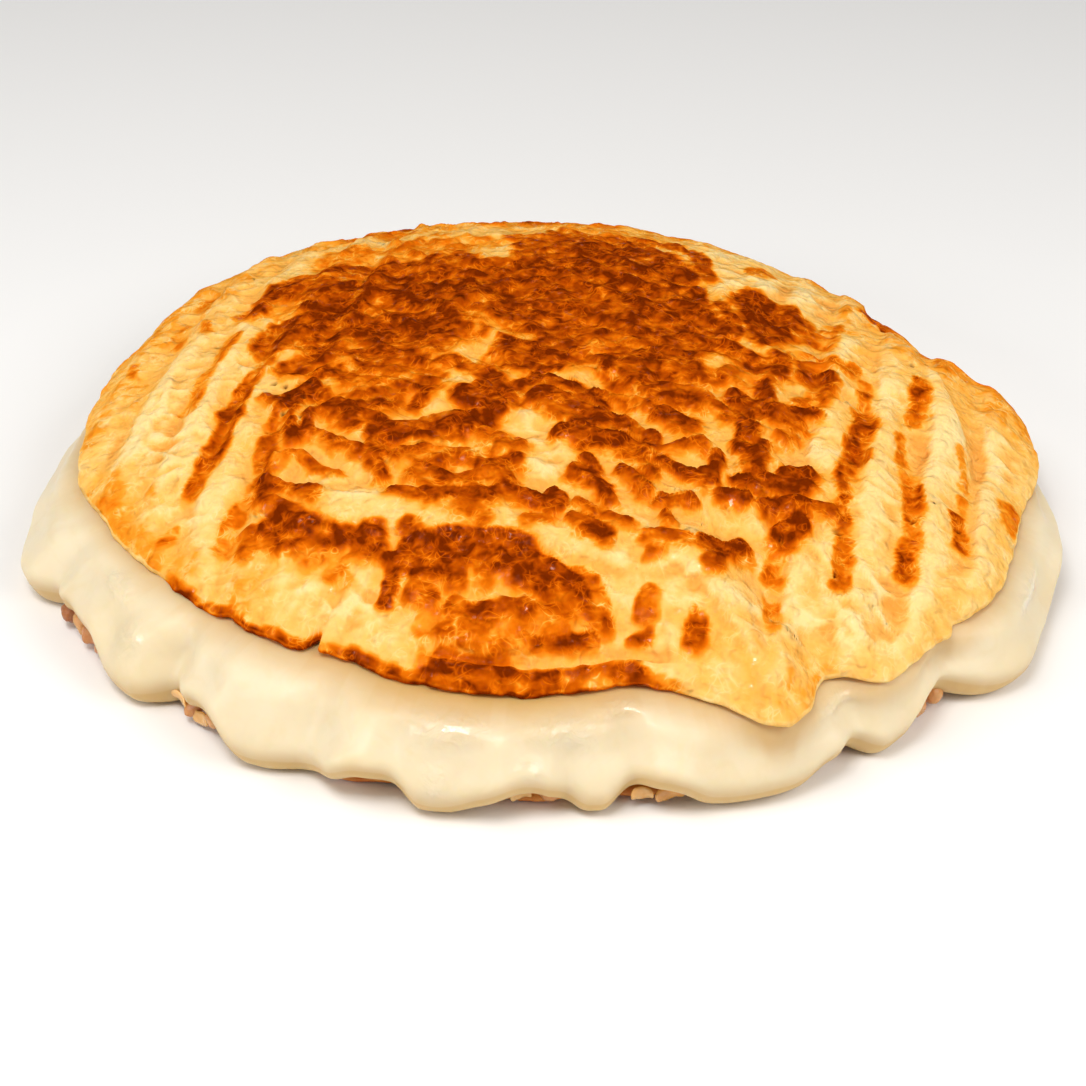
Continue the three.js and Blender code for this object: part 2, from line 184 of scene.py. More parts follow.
BAR_MARKS = [
    (0.44, 1.8, [(-71, 20), (-73, 12), (-75, 3), (-77, -5), (-78, -9)]), (0.5, 2, [(-63, 10), (-62.5, 3)]),
    (0.78, 2.3, [(-64, 0), (-66, -5), (-67.5, -14)]),
    (0.84, 2.3, [(-67, -14), (-69.2, -24), (-71.2, -31), (-72.6, -36)]),
    (0.5, 1.1, [(-75.5, -45), (-76, -47)]), (0.6, 2.2, [(-57, -21), (-58, -27), (-58.5, -34)]),
    (0.66, 1.5, [(-58.5, -35), (-60, -41)]), (0.56, 1.8, [(-62, -44), (-63.5, -48), (-64, -52)]),
    (0.36, 1.2, [(-84, 34), (-85, 26)]), (0.38, 1.2, [(-82, 43), (-80, 48)]),
    (0.4, 1, [(-94, 17), (-93.5, 15)]), (0.4, 1, [(-78, 29), (-78, 26)]),
    (0.6, 1.4, [(67.5, 2), (66.5, -4), (65.5, -10)]), (0.82, 2.4, [(65.5, -10), (64, -18), (62, -27)]),
    (0.74, 1.8, [(62, -24), (61, -29), (60, -34)]), (0.76, 1.5, [(59, -36), (57.5, -44), (57.5, -49)]),
    (0.7, 1.6, [(57.5, -50), (57, -57)]), (0.62, 1.7, [(55.8, -60), (55.8, -64)]),
    (0.62, 1.6, [(43.5, -56), (43, -64)]), (0.58, 1.2, [(42, -70), (42, -73)]),
    (0.4, 1.2, [(41, -76), (41, -77)]), (0.72, 2, [(79.5, 6), (79, 1), (78, -5)]),
    (0.64, 1.9, [(77, -5), (76, -9)]), (0.48, 1.3, [(73, -16), (73, -24)]),
    (0.44, 1.9, [(73, -28), (72, -31)]), (0.82, 2, [(73, -34), (73, -39)]),
    (0.76, 1.8, [(72, -43), (71, -48)]), (0.8, 1.6, [(70.3, -51), (69.3, -55), (68.4, -58)]),
    (0.36, 1, [(86, -16), (85, -26)]), (0.44, 0.9, [(84.5, -31), (84, -34)]),
    (0.8, 1.8, [(82.6, -38), (82.4, -42), (82, -45)]), (0.44, 2, [(95, -28), (94, -32)]),
    (0.74, 2, [(27, -78), (27, -82)]), (0.74, 1.7, [(18, -72), (17, -75)]),
    (0.66, 1.7, [(17, -80), (15, -82)]),
]
PALE_ISLANDS = [
    (0.35, 2.6, [(-19, 9), (-19, 4)]), (0.5, 2.5, [(-22, -20), (-28, -19)]),
    (0.4, 3, [(-13, 52), (-16, 56)]), (0.35, 2.5, [(-45, -6), (-42, -9)]),
    (0.55, 2.2, [(33, -24), (34, -29)]), (0.4, 2.6, [(50, 12), (54, 12)]),
    (0.45, 2.6, [(-62, 34), (-61, 31)]), (0.4, 2.6, [(37, -8), (33, -10)]),
]
PITS = [
    (-59, -5.5), (-56.6, -6.4), (-54, -8.4), (-51.2, -8.6), (-55.2, -12), (-52.2, -12.6), (-55.8, -17.8),
    (-51.6, -20.5), (56, -51.5), (44.5, -56), (54.8, -62), (79, 13), (61, -29), (72, -43.5), (82, -41),
]

# ---- Nips and swells in the layers' edges: (direction, half width in degrees, millimetres outward) ----
TEARS = [(-119.9, 0.8, -3.2), (-39.5, 1.7, -1.6), (-144, 2.2, -0.8), (-132, 0.9, -0.8), (-105, 0.8, -0.7)]
RIM_TRIMS = [(-66.5, 3, 2), (-57.4, 3.8, -5.6), (-44, 9, -1.5)]
CHEESE_TRIMS = [
    (-157.4, 2.6, -3.2), (-146, 8, -0.8), (-135.2, 2.6, -4.4), (-125.5, 4, 1.4), (-116.5, 3.4, -3.2),
    (-111, 3, 0.8), (-106, 2.2, -1.6), (-95.5, 3.2, 2), (-88, 1.6, -1.6), (-81.6, 2.2, -3), (-76, 3, 0.8),
    (-56, 2.4, -2.6), (-48, 2.4, 0.8), (-42, 2.6, -1.8), (-34.5, 5, 1.6),
]
BOTTOM_BREAD_TRIMS = [(-111.5, 6, 1.8), (-92, 4, 1), (-79, 5, 1.4)]

# ---- Stretches of the top bread's rim, from one direction to another ----
TOASTED_RIM = (-147, -72)  # crusty and brown
SPLIT_RIM = (-106, -76)  # the sheet's two plies part here

# ---- Pieces that show below the cheese: (direction, radius, height, size) ----
MEAT_THAT_SHOWS = [
    (-158, 107, 3.8, 2.4), (-155.4, 107.2, 3.6, 2.5), (-153, 106.8, 3.4, 2.4), (-150.6, 106.4, 3.2, 2.3),
    (-148, 105.6, 3.2, 2.2), (-132.5, 101.4, 3.4, 2.2), (-129.6, 101.6, 3.2, 2.3), (-90, 97.4, 3.2, 2),
    (-51, 100.6, 3.4, 2.2), (-48, 101.2, 3.2, 2.4), (-45, 101, 3.4, 2.4), (-42, 101.2, 3, 2.2),
    (3, 105, 3, 2.2), (6, 104.5, 2.6, 2),
]
ONION_THAT_SHOWS = [
    (-134.6, 102.2, 3.6, 2), (-131, 102.6, 2.4, 2.1), (-93, 98.8, 3, 2), (-80, 99.6, 3.2, 2.1),
    (-77, 100, 2.8, 2),
]

# ---- Wet places on the cheese: (direction, height share, half width in degrees, half height share) ----
WET_SPOTS = [
    (-100.5, 0.6, 5, 0.18), (-88.5, 0.55, 5, 0.2), (-101.5, 0.2, 1.8, 0.14), (-141, 0.4, 2.2, 0.24),
    (-147, 0.62, 4, 0.14), (-92, 0.2, 1.6, 0.12), (-82, 0.72, 4, 0.12), (-58, 0.55, 4, 0.14),
    (-26, 0.5, 5, 0.14), (24, 0.55, 5, 0.18), (68, 0.5, 6, 0.18), (118, 0.55, 6, 0.18), (158, 0.5, 5, 0.16),
]


# ---- Smooth noise ----

class Noise:
    """Gradient noise from a seed. Values run from about -1 to 1."""

    def __init__(self, seed):
        random = np.random.default_rng(seed)
        self.order = random.permutation(256)
        directions = random.normal(size=(256, 3))
        self.slopes = directions / np.linalg.norm(directions, axis=1, keepdims=True)

    def __call__(self, points, size):
        """Noise at an array of points, with bumps about that many millimetres across."""
        places = points / size
        cells = np.floor(places).astype(int)
        within = places - cells
        fade = within ** 3 * (within * (within * 6 - 15) + 10)
        total = np.zeros(len(points))
        for corner in itertools.product((0, 1), repeat=3):
            i, j, k = ((cells + corner) & 255).T
            slope = self.slopes[self.order[(self.order[(self.order[i] + j) & 255] + k) & 255]]
            weight = np.prod(np.where(corner, fade, 1 - fade), axis=1)
            total += weight * np.sum((within - corner) * slope, axis=1)
        return total * 1.7

    def layered(self, points, size, layers=3):
        """Noise of that size with finer noise on it, each half as wide and half as strong."""
        return sum(self(points + 31.7 * n, size / 2 ** n) / 2 ** n for n in range(layers))


def smoothstep(value, low, high):
    share = np.clip((value - low) / (high - low), 0, 1)
    return share * share * (3 - 2 * share)


# ---- Outlines, read from the frame's layers ----

class Outline:
    """A smooth closed curve of values by direction, from one value for each of the layer's directions."""

    def __init__(self, values):
        self.values = np.asarray(values, float)

    def __call__(self, degrees):
        count = len(self.values)
        place = (np.asarray(degrees, float) + 180) / 360 * count
        start = np.floor(place).astype(int)
        t = place - start
        before, here, after, later = (self.values[(start + step) % count] for step in (-1, 0, 1, 2))
        return here + 0.5 * t * (after - before + t * (2 * before - 5 * here + 4 * after - later
                                                       + t * (3 * (here - after) + later - before)))


def layer_points(node):
    """Direction numbers, radii and heights of a layer's points off its axis, and its number of directions."""
    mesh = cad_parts[node].data
    points = np.array([v.co for v in mesh.vertices]) / MM
    radius = np.hypot(points[:, 0], points[:, 1])
    points, radius = points[radius > 1], radius[radius > 1]
    degrees = np.degrees(np.arctan2(points[:, 1], points[:, 0]))
    sides = len(np.unique(np.round(degrees % 360, 1) % 360))
    return np.round((degrees + 180) / 360 * sides).astype(int) % sides, radius, points[:, 2], sides


def rim_of(node):
    """The outline of a layer, and the height of its outermost point, by direction."""
    side, radius, height, sides = layer_points(node)
    outermost = [np.flatnonzero(side == s)[np.argmax(radius[side == s])] for s in range(sides)]
    return Outline(radius[outermost]), Outline(height[outermost])


def degrees_between(degrees, start):
    """Degrees from a start direction, from -180 to 180."""
    return (degrees - start + 180) % 360 - 180


def within(degrees, stretch, low, high):
    """1 in a stretch of directions and 0 outside it. It rises from low to high degrees in from each end."""
    start, end = stretch
    return (smoothstep(degrees_between(degrees, start), low, high)
            * smoothstep(-degrees_between(degrees, end), low, high))


def trimmed(degrees, trims):
    """How far a list of tears, nips and swells moves an outline in each direction."""
    return sum(depth * (1 - smoothstep(abs(degrees_between(degrees, direction)), 0, 1.4 * half))
               for direction, half, depth in trims)


top_outline, top_rim_height = rim_of("top_bread")
cheese_radius, cheese_widest = rim_of("cheese")
filling_radius, _ = rim_of("filling")
bottom_radius, _ = rim_of("bottom_bread")


def top_radius(degrees):
    """The top bread's radius in each direction."""
    return top_outline(degrees) + trimmed(degrees, RIM_TRIMS)


def top_edge_height(degrees):
    """Height of the top bread's upper face at its rim."""
    return top_rim_height(degrees) + 0.6 * TOP_BREAD_THICKNESS


def dome_height(degrees, share):
    """Height of the smooth dome that the top bread is draped over, at a share of its radius."""
    edge = top_edge_height(degrees)
    return edge + (CROWN_HEIGHT - edge) * (1 - np.clip(share, 0, 1) ** 3.2) ** 0.8


def heap_height(share, crown=HEAP_CROWN_HEIGHT):
    """Height of the heap of filling at a share of its radius."""
    return HEAP_EDGE_HEIGHT + (crown - HEAP_EDGE_HEIGHT) * (1 - share ** 2.5)


# ---- Meshes ----

def place(degrees, radius, height):
    """Points from directions, radii and heights."""
    angle = np.radians(degrees)
    return np.stack([radius * np.cos(angle), radius * np.sin(angle), height + 0 * angle], axis=-1)


def disc_grid(cells):
    """A unit disc as an even grid of quads.

    Gives each point's direction and share of the radius, the quads, and the loop of points at the edge.
    """
    line = np.linspace(-1, 1, cells + 1)
    across, along = (a.ravel() for a in np.meshgrid(line, line))
    share = np.maximum(abs(across), abs(along))
    wide = abs(across) >= abs(along)
    longer = np.where(wide, across, along)
    shorter = np.where(wide, along, across)
    lean = 45 * np.divide(shorter, longer, out=np.zeros_like(share), where=share > 0)
    degrees = np.where(wide, lean, 90 - lean) + np.where(longer < 0, 180, 0)
    corner = np.arange(cells)[:, None] * (cells + 1) + np.arange(cells)
    corner = corner.ravel()
    quads = np.stack([corner, corner + 1, corner + cells + 2, corner + cells + 1], axis=1)
    row = np.arange(cells)
    edge = np.concatenate([row, cells + row * (cells + 1), (cells + 1) ** 2 - 1 - row,
                           (cells + 1) * (cells - row)])
    return degrees, share, quads, edge


def band(outer, inner):
    """Quads between two loops of point numbers. Seen from outside, the second lies below the first."""
    return np.stack([outer, inner, np.roll(inner, -1), np.roll(outer, -1)], axis=1)


def fan(loop, centre):
    """Triangles from a loop to one point below it."""
    return np.stack([loop, np.full_like(loop, centre), np.roll(loop, -1)], axis=1)


def make_mesh(name, points, faces, values):
    """A smooth object from points in millimetres, arrays of faces, and named numbers for each point."""
    mesh = bpy.data.meshes.new(name)
    corners = [face for group in faces for face in group.tolist()]
    mesh.from_pydata((np.asarray(points) * MM).tolist(), [], corners)
    mesh.shade_smooth()
    for key, numbers in values.items():
        attribute = mesh.attributes.new(key, "FLOAT", "POINT")
        attribute.data.foreach_set("value", np.asarray(numbers, np.float32))
    mesh.validate()
    thing = bpy.data.objects.new(name, mesh)
    bpy.context.scene.collection.objects.link(thing)
    return thing


def stacked_rings(rings, bottom, top):
    """Points and faces of a closed body from rings of points, from its underside round to its top."""
    sides = len(rings[0])
    points = np.concatenate([[bottom], *rings, [top]])
    loops = [1 + level * sides + np.arange(sides) for level in range(len(rings))]
    faces = [fan(loops[0], 0)]
    faces += [band(upper, lower) for lower, upper in zip(loops, loops[1:])]
    faces.append(fan(loops[-1][::-1], len(points) - 1))
    return points, faces


def nearest_on_line(x, y, line):
    """Distance to a line of points, and the side and the front: positive where the place is on its right
    hand, and positive where the place lies nearer to the front than the line does."""
    best = np.full(x.shape, np.inf)
    side = np.zeros_like(best)
    ahead = np.zeros_like(best)
    for (x0, y0), (x1, y1) in zip(line, line[1:]):
        dx, dy = x1 - x0, y1 - y0
        along = np.clip(((x - x0) * dx + (y - y0) * dy) / (dx * dx + dy * dy), 0, 1)
        away_x, away_y = x - x0 - along * dx, y - y0 - along * dy
        distance = np.hypot(away_x, away_y)
        nearer = distance < best
        best = np.where(nearer, distance, best)
        side = np.where(nearer, np.sign(away_x * dy - away_y * dx), side)
        ahead = np.where(nearer, -away_y, ahead)
    return best, side, ahead


# ---- The top bread's surface ----

def browning(x, y, marks, fray=0):
    """How brown the marks make each place, from 0 to 1. Each mark ends crisply at its back edge, where the
    bread stood up to the hot plate, and fades out slowly towards the front, further where fray is high."""
    brown = np.zeros(x.shape)
    for strength, half_width, line in marks:
        distance, _, ahead = nearest_on_line(x, y, line)
        front = np.clip(ahead / np.maximum(distance, 0.1), 0, 1)
        whole = half_width * (0.72 - 0.42 * front)
        gone = half_width + 0.8 + front * (2.8 + 1.8 * fray)
        brown = np.maximum(brown, strength * (1 - smoothstep(distance, whole, gone)))
    return brown


def blurred(values, cells, reach):
    """Values on the square grid, averaged over that many grid cells each way, twice."""
    grid = values.reshape(cells + 1, cells + 1)
    for axis in (0, 1, 0, 1):
        padded = np.concatenate([np.repeat(np.take(grid, [0], axis), reach + 1, axis), grid,
                                 np.repeat(np.take(grid, [-1], axis), reach, axis)], axis)
        sums = np.cumsum(padded, axis)
        span = 2 * reach + 1
        grid = (np.take(sums, range(span, sums.shape[axis]), axis)
                - np.take(sums, range(sums.shape[axis] - span), axis)) / span
    return grid.ravel()


def fold_relief(x, y):
    """Height of the raised folds."""
    relief = np.zeros(x.shape)
    for height, run, drop, line in FOLDS:
        distance, side, _ = nearest_on_line(x, y, line)
        length = sum(math.dist(a, b) for a, b in zip(line, line[1:]))
        from_ends = np.minimum(*(np.hypot(x - end_x, y - end_y) for end_x, end_y in (line[0], line[-1])))
        fade = smoothstep(from_ends, 0, min(0.3 * length, 16))
        slope = 1 - smoothstep(distance, 0, np.where(side > 0, drop, run))
        relief = np.maximum(relief, height * slope * fade)
    return relief


def bar_relief(x, y, noise):
    """Grooves that the grill's bars pressed in at both sides. The bread is puffed up between them, more
    steeply on each puff's left."""
    flat = np.stack([x, y, 0 * x], axis=1)
    across = x * math.cos(BAR_LEAN) - y * math.sin(BAR_LEAN) + 0.9 * noise(flat, 28)
    turns = (across - BAR_PHASE) / BAR_PITCH
    turns = turns + 0.09 * (1 - np.cos(2 * math.pi * turns))
    groove = (0.5 + 0.5 * np.cos(2 * math.pi * turns)) ** 1.6
    shown = smoothstep(abs(across), 36, 52)
    return -BAR_DEPTH * shown * groove * (0.8 + 0.5 * noise(flat + 60, 22))


def crazed(x, y, size, seed, width):
    """Irregular cells like crinkled skin: 0 on the borders between them, 1 inside each."""
    cell_x, cell_y = np.floor(x / size), np.floor(y / size)
    nearest = np.full(x.shape, np.inf)
    second = nearest.copy()
    for step_x, step_y in itertools.product((-1, 0, 1), repeat=2):
        at_x, at_y = cell_x + step_x, cell_y + step_y
        spin = np.sin(at_x * 127.1 + at_y * 311.7 + seed) * 43758.5453
        swing = np.sin(at_x * 269.5 + at_y * 183.3 + seed) * 24634.6345
        centre_x = (at_x + spin - np.floor(spin)) * size
        centre_y = (at_y + swing - np.floor(swing)) * size
        distance = np.hypot(x - centre_x, y - centre_y)
        second = np.minimum(second, np.maximum(nearest, distance))
        nearest = np.minimum(nearest, distance)
    return smoothstep((second - nearest) / size, 0, width)


def top_bread_relief(x, y, brown):
    """Height of everything that stands out from the smooth dome."""
    noise = Noise(17)
    flat = np.stack([x, y, 0 * x], axis=1)
    bent_x, bent_y = x + 1.4 * noise(flat + 400, 6), y + 1.4 * noise(flat + 430, 6)
    relief = fold_relief(x + 0.8 * noise(flat + 20, 7), y + 0.8 * noise(flat + 50, 7))
    relief = relief + bar_relief(x, y, noise)

    # Wrinkles that run down to the right across the middle
    middle = 1 - smoothstep(np.hypot(x - 8, y + 8), 40, 80)
    down = np.stack([(x * 0.75 - y * 0.66) * 0.36, x * 0.66 + y * 0.75, 0 * x], axis=1)
    relief = relief + 1.2 * middle * (0.6 - abs(noise(down + 7, 8)) * 1.5)

    # The browned wrinkles are the ones that stood up to the hot plate
    relief = relief + 1.4 * browning(x, y, [(1.0, 0.8 * width, line) for _, width, line in BROWNED_FOLDS])
    relief = relief + 0.9 * browning(x, y, BROWNED_FRONT)

    # Skin
    pillows = crazed(bent_x, bent_y * 1.25, 7.0, 3.0, 1.0) * (0.8 + 0.6 * noise(flat + 600, 25))
    blisters = crazed(bent_x + 0.8 * noise(flat, 2.5), bent_y, 3.9, 8.0, 0.8)
    ridges = 1 - crazed(1.15 * bent_x + 0.6 * bent_y, bent_y, 9.5, 5.0, 0.34)
    creased = smoothstep(noise(flat + 700, 22), -0.35, 0.25) * (1 - 0.6 * smoothstep(brown, 0.2, 0.6))
    relief = relief + 0.75 * pillows + blisters * (0.22 + 0.25 * smoothstep(brown, 0.1, 0.6))
    relief = relief + 0.75 * ridges * creased
    return relief + 0.8 * noise.layered(flat + 200, 13, 2) + 0.34 * noise.layered(flat + 300, 5.0, 2)


def top_bread_browning(degrees, flat, from_rim, noise):
    """How brown the marks make each place, how brown it looks in all with the painted shade added, where the
    rim is toasted and its gap.
    """
    x, y = flat[:, 0], flat[:, 1]
    around = place(degrees, 100, 0)

    # Marks with ragged edges and a halo, painted shade at the back and on the right lobe, which slope away
    # from the light, and a darker band along the rim
    ragged_x = x + 1.3 * noise(flat, 9) + 0.5 * noise(flat + 50, 3.6)
    ragged_y = y + 1.3 * noise(flat + 90, 9) + 0.5 * noise(flat + 140, 3.6)
    marks = BROWNED_MIDDLE + BROWNED_FOLDS + BROWNED_FRONT + BAR_MARKS
    streaks = noise(np.stack([x, 0.3 * y, 0 * x + 9], axis=1), 2.6)
    brown = browning(ragged_x, ragged_y, marks, streaks)
    brown = brown * (1 - browning(ragged_x, ragged_y, PALE_ISLANDS))
    halo = blurred(brown, TOP_BREAD_CELLS, 6)
    # Painted shade: the back of the dome slopes away from the light and is darker
    back = smoothstep(y, 60, 84) * (1 - smoothstep(abs(x - 5), 45, 80)) * 0.32
    back = np.maximum(back, 0.22 * smoothstep(np.hypot(x, y), 72, 92) * smoothstep(y, -15, 30))
    # A darker band along the rim, and painted shade on the right lobe, which slopes away from the light
    rim_tint_and_side_shade = 0.13 * (1 - smoothstep(from_rim, 1, 9)) + 0.14 * smoothstep(x, 82, 90) * smoothstep(y, -12, 2)
    tinted = brown + (1 - brown) * (0.46 * halo + back + rim_tint_and_side_shade)

    # The toasted rim, with a groove behind it where the plies part
    toasted = within(degrees, TOASTED_RIM, 0, 8)
    parted = within(degrees, SPLIT_RIM, -3, 5)
    gap = parted * smoothstep(from_rim, 3.3, 4.1) * (1 - smoothstep(from_rim, 5.2, 7.2))
    crust = 1 + 0.9 * noise(around, 11) + 0.5 * noise(around + 20, 4)
    crust_width = 1.5 * crust + 2.2 * parted
    rim_brown = toasted * (1 - smoothstep(from_rim, crust_width - 1.3 * crust, crust_width))
    rim_brown = rim_brown * (0.8 + 0.4 * noise(flat + 70, 4))
    level = np.maximum(tinted * (1 - 0.65 * gap * smoothstep(x, -12, -2)), rim_brown * (1 - gap))
    return brown, level, toasted, gap


def make_top_bread():
    degrees, share, quads, edge = disc_grid(TOP_BREAD_CELLS)
    noise = Noise(11)
    around = place(degrees, 100, 0)
    radius = top_radius(degrees)
    radius = radius + trimmed(degrees, TEARS) * share ** 8
    radius = radius + share ** 6 * (0.5 * noise(around, 9) + 0.35 * noise(around, 3.2))
    flat = place(degrees, share * radius, 0)
    x, y = flat[:, 0], flat[:, 1]
    from_rim = (1 - share) * radius
    brown, level, toasted, gap = top_bread_browning(degrees, flat, from_rim, noise)
    pits = sum(1 - smoothstep(np.hypot(x - px, y - py), 0.1, 0.85) for px, py in PITS)

    relief = top_bread_relief(x, y, brown) - 0.8 * pits
    relief = relief * (0.3 + 0.7 * smoothstep(from_rim, 0, 8)) - 1.8 * gap
    curl = 0.5 * noise(around + 9, 9) + 0.35 * noise(around + 5, 3)
    relief = relief + (1 - smoothstep(from_rim, 0, 5)) * curl
    relief = np.clip(relief, -2.6, 2.4)
    # How far each place lies down in a hollow: the material paints shade into the hollows of the pale skin
    # with it
    hollow = np.clip((blurred(relief, TOP_BREAD_CELLS, 3) - relief) / 0.5, -1, 1)
    height = dome_height(degrees, share) - 1.2 * smoothstep(from_rim, 0, 14) + relief
    top = place(degrees, share * radius, height)

    # Rim and underside
    rim_degrees, rim_radius, rim_top = degrees[edge], radius[edge], height[edge]
    thickness = RIM_THICKNESS * (0.78 + 0.35 * noise(around[edge] + 40, 6))
    rings = [place(rim_degrees, rim_radius + out, rim_top - drop * thickness)
             for drop, out in ((0.25, 0.22), (0.5, 0.3), (0.8, 0.2), (1.0, -0.35))]
    for inner, sag in ((0.975, 0), (0.93, 1.6), (0.86, 1.8), (0.72, 1.8), (0.5, 1.8), (0.25, 1.8)):
        under = dome_height(rim_degrees, inner) - TOP_BREAD_THICKNESS - sag
        rings.append(place(rim_degrees, inner * rim_radius, under))
    points = np.concatenate([top, *rings, [[0, 0, CROWN_HEIGHT - TOP_BREAD_THICKNESS - 1.8]]])
    sides = len(edge)
    loops = [edge] + [len(top) + ring * sides + np.arange(sides) for ring in range(len(rings))]
    faces = [quads] + [band(a, b) for a, b in zip(loops, loops[1:])] + [fan(loops[-1], len(points) - 1)]

    crusty = toasted[edge] * (1.0 + 0.4 * noise(around[edge] + 60, 5))
    below = [crusty * strength for strength in (0.8, 0.95, 1.0, 0.7)] + [np.full(sides, 0.05)] * 6
    off_top = np.zeros(len(points) - len(top))
    values = {
        # brown also carries the painted shade at the back and on the right lobe
        "brown": np.concatenate([level, *below, [0.05]]),
        "pit": np.concatenate([pits, off_top]),
        "hollow": np.concatenate([hollow, off_top]),
    }
    return make_mesh("top_flatbread", points, faces, values)


# ---- The cheese ----

def rim_shade(skin, direction, level, bread, widest, noise):
    """How strongly painted shade darkens and warms the cheese's side below the top bread's rim, by how far
    below it a place lies.
    """
    meridians = skin.reshape(-1, CHEESE_SIDES, 3)
    steps = np.linalg.norm(np.diff(meridians, axis=0), axis=2)
    from_top = np.concatenate([np.cumsum(steps[::-1], axis=0)[::-1], np.zeros((1, CHEESE_SIDES))])
    covered = (np.hypot(meridians[:, :, 0], meridians[:, :, 1]) < bread) & (meridians[:, :, 2] > widest)
    from_rim = from_top - np.max(from_top * covered, axis=0)
    middle = np.exp(-(degrees_between(direction, -98) / 30) ** 2)
    reach = 6.5 + 5 * middle + 1.5 * noise(skin + 120, 12)
    fading = (1 - smoothstep(from_rim.ravel() / reach, -0.1, 1)) * smoothstep(level, 0.12, 0.5)
    return (0.5 + 0.4 * middle) * fading


def make_cheese():
    degrees = np.arange(CHEESE_SIDES) * 360 / CHEESE_SIDES - 180
    noise = Noise(23)
    front = smoothstep(-abs(degrees_between(degrees, -80)), -58, -46)
    outer = cheese_radius(degrees) + CHEESE_SPREAD * front + trimmed(degrees, CHEESE_TRIMS)
    widest = cheese_widest(degrees)
    foot = np.clip(widest - CHEESE_BULGE_HEIGHT, 0, None)
    dripping = smoothstep(widest.max() - widest, 0.5, 4.0)
    wall = filling_radius(degrees) + 0.3
    bread = top_radius(degrees)
    shelf_top = dome_height(degrees, 1) - RIM_THICKNESS + 0.3

    def bulging(t, middle, half):
        return math.exp(-((t - middle) / half) ** 2)

    def side_ring(t):
        """The cheese's side: 0 is its widest place, 1 the bread's rim above it and -1 its underside."""
        turn = math.radians(90 * t)
        start = 0.97 * bread if t > 0 else outer - CHEESE_TUCK
        far = shelf_top if t > 0 else foot
        radius = start + (outer - start) * math.cos(turn)
        radius = radius + 0.9 * dripping * bulging(t, 0.12, 0.12)
        radius = radius - (0.8 + 2.2 * (1 - dripping)) * bulging(t, 0.36, 0.17)
        return place(degrees, radius, widest + (far - widest) * abs(math.sin(turn)))

    # Rings over the heap and down its wall, up the side, and back in below the top bread
    inside = [place(degrees, share * filling_radius(degrees), heap_height(share) + LAYER_GAP)
              for share in (0.3, 0.6, 0.85)]
    inside.append(place(degrees, wall - 3.5, 8.0))
    inside.append(place(degrees, wall - 2.5, np.maximum(foot + 1.5, 2.0)))
    turns = np.concatenate([np.linspace(-1, 0, 14, endpoint=False), np.linspace(0, 1, 52)])
    side = [side_ring(t) for t in turns]
    above = [place(degrees, share * bread, dome_height(degrees, share) - TOP_BREAD_THICKNESS - sag)
             for share, sag in ((0.94, 2.0), (0.88, 2.2), (0.75, 2.2), (0.5, 2.2), (0.25, 2.2))]
    bottom = [0, 0, heap_height(0) + LAYER_GAP]
    crown = [0, 0, CROWN_HEIGHT - TOP_BREAD_THICKNESS - 2.2]
    points, faces = stacked_rings(inside + side + above, bottom, crown)

    # Swells and wet domes on the side
    first = 1 + len(inside) * CHEESE_SIDES
    last = first + len(side) * CHEESE_SIDES
    skin = points[first:last]
    level = np.repeat(turns, CHEESE_SIDES)
    direction = np.tile(degrees, len(side))
    free = smoothstep(level, -0.95, -0.2) * (1 - smoothstep(level, 0.8, 1.0))
    swell = 1.0 * noise(skin, 17) + 0.32 * noise(skin + 40, 8) + 0.06 * noise(skin + 80, 3)
    wetness = np.zeros(len(skin))
    for at, up, wide, tall in WET_SPOTS:
        away = np.hypot(degrees_between(direction, at) / wide, (level - up) / tall)
        wetness = np.maximum(wetness, 1 - smoothstep(away, 0, 1.2))
    skin = skin + place(direction, 1, 0.35) * ((swell + 0.5 * wetness) * free)[:, None]
    skin[:, 2] = np.maximum(skin[:, 2], 0.02)
    points[first:last] = skin

    tones = {
        # Painted shade, warm and dark just below the top bread's rim, fading down the side
        "painted_rim_shade": rim_shade(skin, direction, level, bread, widest, noise),
        # Painted shade: darker and yellower low down, towards the underside
        "painted_low_shade": 1 - smoothstep(level, -0.1, 0.34 - 0.16 * np.tile(dripping, len(side))),
        "wet": wetness,
        # Painted shade in the hollows between the swells
        "painted_valley_shade": smoothstep(-swell, 0.2, 1.2) * free,
    }
    off_side = (first, len(points) - last)
    values = {key: np.pad(tone, off_side) for key, tone in tones.items()}
    return make_mesh("melted_cheese", points, faces, values)


# ---- The filling ----

def make_filling_core():
    degrees = np.arange(CORE_SIDES) * 360 / CORE_SIDES - 180
    noise = Noise(31)
    edge = filling_radius(degrees) - 2.6
    floor = BOTTOM_BREAD_THICKNESS + LAYER_GAP
    crown = HEAP_CROWN_HEIGHT - 0.5
    under = [place(degrees, share * edge, floor) for share in (0.5, 0.9)]
    side = [place(degrees, edge - inset, height) for inset, height in
            ((0.9, floor), (0.3, floor + 1), (0, floor + 2), (0.2, floor + 3), (0.6, 7), (1.4, 8))]
    over = [place(degrees, share * edge, heap_height(share, crown)) for share in (0.9, 0.7, 0.45, 0.2)]
    points, faces = stacked_rings(under + side + over, [0, 0, floor], [0, 0, crown])
    first = 1 + len(under) * CORE_SIDES
    rough = points[first:first + len(side) * CORE_SIDES]
    outward = place(np.tile(degrees, len(side)), 1, 0)
    rough += outward * (0.9 * noise(rough, 4) + 0.5 * noise(rough, 1.8))[:, None]
    rough[:, 2] = np.maximum(rough[:, 2], floor)
    return make_mesh("filling_core", points, faces, {"shade": 0.5 + 0.5 * noise.layered(points, 5)})


def lump(detail):
    """A unit sphere of triangles: its points and faces."""
    ball = bmesh.new()
    bmesh.ops.create_icosphere(ball, subdivisions=detail, radius=1)
    points = np.array([v.co for v in ball.verts])
    faces = np.array([[v.index for v in f.verts] for f in ball.faces])
    ball.free()
    return points, faces


